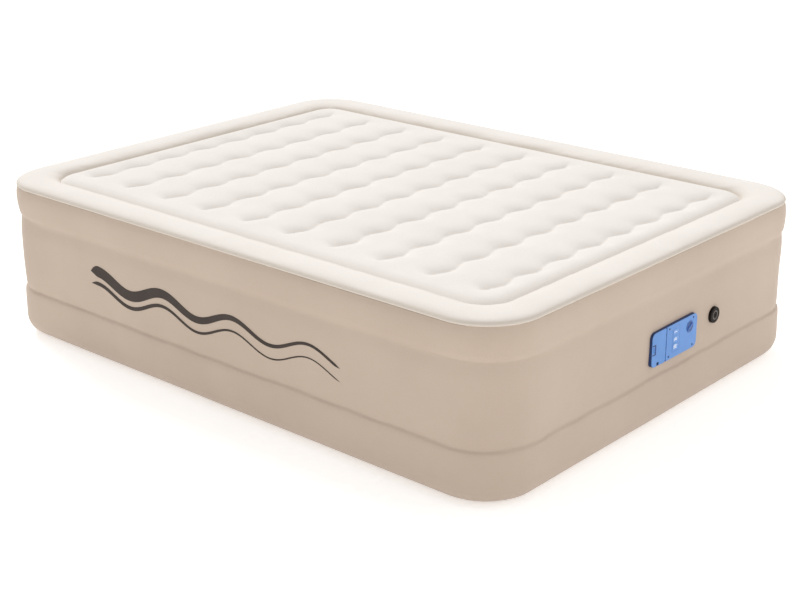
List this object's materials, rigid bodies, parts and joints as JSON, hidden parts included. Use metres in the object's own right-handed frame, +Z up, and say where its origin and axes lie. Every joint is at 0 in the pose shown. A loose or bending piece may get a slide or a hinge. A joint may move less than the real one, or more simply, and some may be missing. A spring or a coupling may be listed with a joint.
{
  "type": "air mattress",
  "caption": "Raised queen-size air mattress with a wave-quilted flocked top, a built-in two-motor mains pump behind a control panel, and a screw valve.",
  "frame": {"origin": "on the floor, at the middle of the overall footprint", "axes": "+X across the bed, +Y along the bed away from the pump, +Z up"},
  "size_m": [1.52, 2.03, 0.51],
  "materials": {
    "flocked_top": "short velvety flock",
    "rim_vinyl": "fine flocked vinyl",
    "wall_vinyl": "matt flocked vinyl",
    "bottom_vinyl": "matt embossed vinyl",
    "inner_vinyl": "plain vinyl",
    "navy_plastic": "satin",
    "blue_plastic": "satin",
    "white_button": "satin",
    "dial_blue": "satin",
    "housing_plastic": "as moulded",
    "fan_plastic": "as moulded",
    "black_plastic": "satin",
    "grey_plastic": "satin",
    "soft_rubber": "matt",
    "plated_steel": "zinc plated",
    "motor_steel": "drawn can",
    "board": "solder mask",
    "clear_guide": "clear"
  },
  "bodies": {
    "mattress": {"bottom_sheet": "bottom_vinyl", "side_wall": "wall_vinyl", "pump_patch": "wall_vinyl", "top_rim": "rim_vinyl", "sleeping_surface": "flocked_top", "inner_girth": "inner_vinyl", "lower_tie": "inner_vinyl", "upper_tie": "inner_vinyl", "wave_beam_01": "inner_vinyl", "wave_beam_02": "inner_vinyl", "wave_beam_03": "inner_vinyl", "wave_beam_04": "inner_vinyl", "wave_beam_05": "inner_vinyl", "wave_beam_06": "inner_vinyl", "wave_beam_07": "inner_vinyl", "wave_beam_08": "inner_vinyl", "wave_beam_09": "inner_vinyl", "wave_beam_10": "inner_vinyl", "bezel": "navy_plastic", "gasket": "soft_rubber", "tub": "housing_plastic", "cord_tray": "housing_plastic", "cord_gland": "soft_rubber", "hinge_pin": "plated_steel", "faceplate": "blue_plastic", "screw_1": "plated_steel", "screw_2": "plated_steel", "screw_3": "plated_steel", "screw_4": "plated_steel", "tact_switch_soft": "black_plastic", "tact_switch_medium": "black_plastic", "tact_switch_firm": "black_plastic", "light_guide": "clear_guide", "circuit_board": "board", "diverter_housing": "housing_plastic", "main_motor": "motor_steel", "volute": "housing_plastic", "quiet_motor": "motor_steel", "quiet_housing": "housing_plastic", "power_module": "black_plastic", "outlet_port": "housing_plastic", "pressure_sensor": "black_plastic", "sensor_tube": "soft_rubber", "valve_seat": "black_plastic"},
    "cord_door": {"cord_door": "blue_plastic"},
    "door_latch": {"door_latch": "blue_plastic"},
    "button_soft": {"button_soft": "white_button"},
    "button_medium": {"button_medium": "white_button"},
    "button_firm": {"button_firm": "white_button"},
    "dial": {"dial_knob": "dial_blue", "diverter_drum": "housing_plastic"},
    "main_fan": {"main_impeller": "fan_plastic"},
    "quiet_fan": {"quiet_impeller": "fan_plastic"},
    "air_flap": {"air_flap": "soft_rubber"},
    "cap_seal": {"valve_oring": "soft_rubber"},
    "valve_cap": {"valve_cap": "black_plastic", "cap_ring": "grey_plastic"},
    "valve_flap": {"valve_flap": "soft_rubber"}
  },
  "joints": [
    {"name": "door_hinge", "type": "hinge", "parent": "mattress", "child": "cord_door", "pos_m": [-0.017, -1.01, 0.245], "axis": [0, 0, 1], "range_deg": [0, 110]},
    {"name": "latch_slide", "type": "slide", "parent": "cord_door", "child": "door_latch", "axis": [1, 0, 0], "range_m": [0, 0.0025], "stiffness_N_per_m": 300, "springref_m": -0.001},
    {"name": "button_soft_press", "type": "slide", "parent": "mattress", "child": "button_soft", "axis": [0, 1, 0], "range_m": [0, 0.0012], "stiffness_N_per_m": 600, "springref_m": -0.0006},
    {"name": "button_medium_press", "type": "slide", "parent": "mattress", "child": "button_medium", "axis": [0, 1, 0], "range_m": [0, 0.0012], "stiffness_N_per_m": 600, "springref_m": -0.0006},
    {"name": "button_firm_press", "type": "slide", "parent": "mattress", "child": "button_firm", "axis": [0, 1, 0], "range_m": [0, 0.0012], "stiffness_N_per_m": 600, "springref_m": -0.0006},
    {"name": "dial_turn", "type": "hinge", "parent": "mattress", "child": "dial", "pos_m": [0.104, -1.01, 0.263], "axis": [0, -1, 0], "range_deg": [-45, 45]},
    {"name": "main_fan_spin", "type": "hinge", "parent": "mattress", "child": "main_fan", "pos_m": [0.025, -0.928, 0.244], "axis": [0, -1, 0], "continuous": true},
    {"name": "quiet_fan_spin", "type": "hinge", "parent": "mattress", "child": "quiet_fan", "pos_m": [0.104, -0.944, 0.224], "axis": [0, -1, 0], "continuous": true},
    {"name": "air_flap_swing", "type": "hinge", "parent": "mattress", "child": "air_flap", "pos_m": [0.025, -0.9022, 0.277], "axis": [1, 0, 0], "range_deg": [0, 35]},
    {"name": "cap_rise", "type": "slide", "parent": "mattress", "child": "cap_seal", "axis": [0, -1, 0], "range_m": [0, 0.0121]},
    {"name": "cap_turn", "type": "hinge", "parent": "cap_seal", "child": "valve_cap", "pos_m": [0.245, -1.01, 0.255], "axis": [0, -1, 0], "range_deg": [0, 1080]},
    {"name": "valve_flap_slide", "type": "slide", "parent": "mattress", "child": "valve_flap", "axis": [0, 1, 0], "range_m": [0, 0.005], "stiffness_N_per_m": 60, "springref_m": -0.001}
  ],
  "couplings": [
    {"joint": "cap_rise", "follows": "cap_turn", "m_per_rad": 0.00063662}
  ]
}
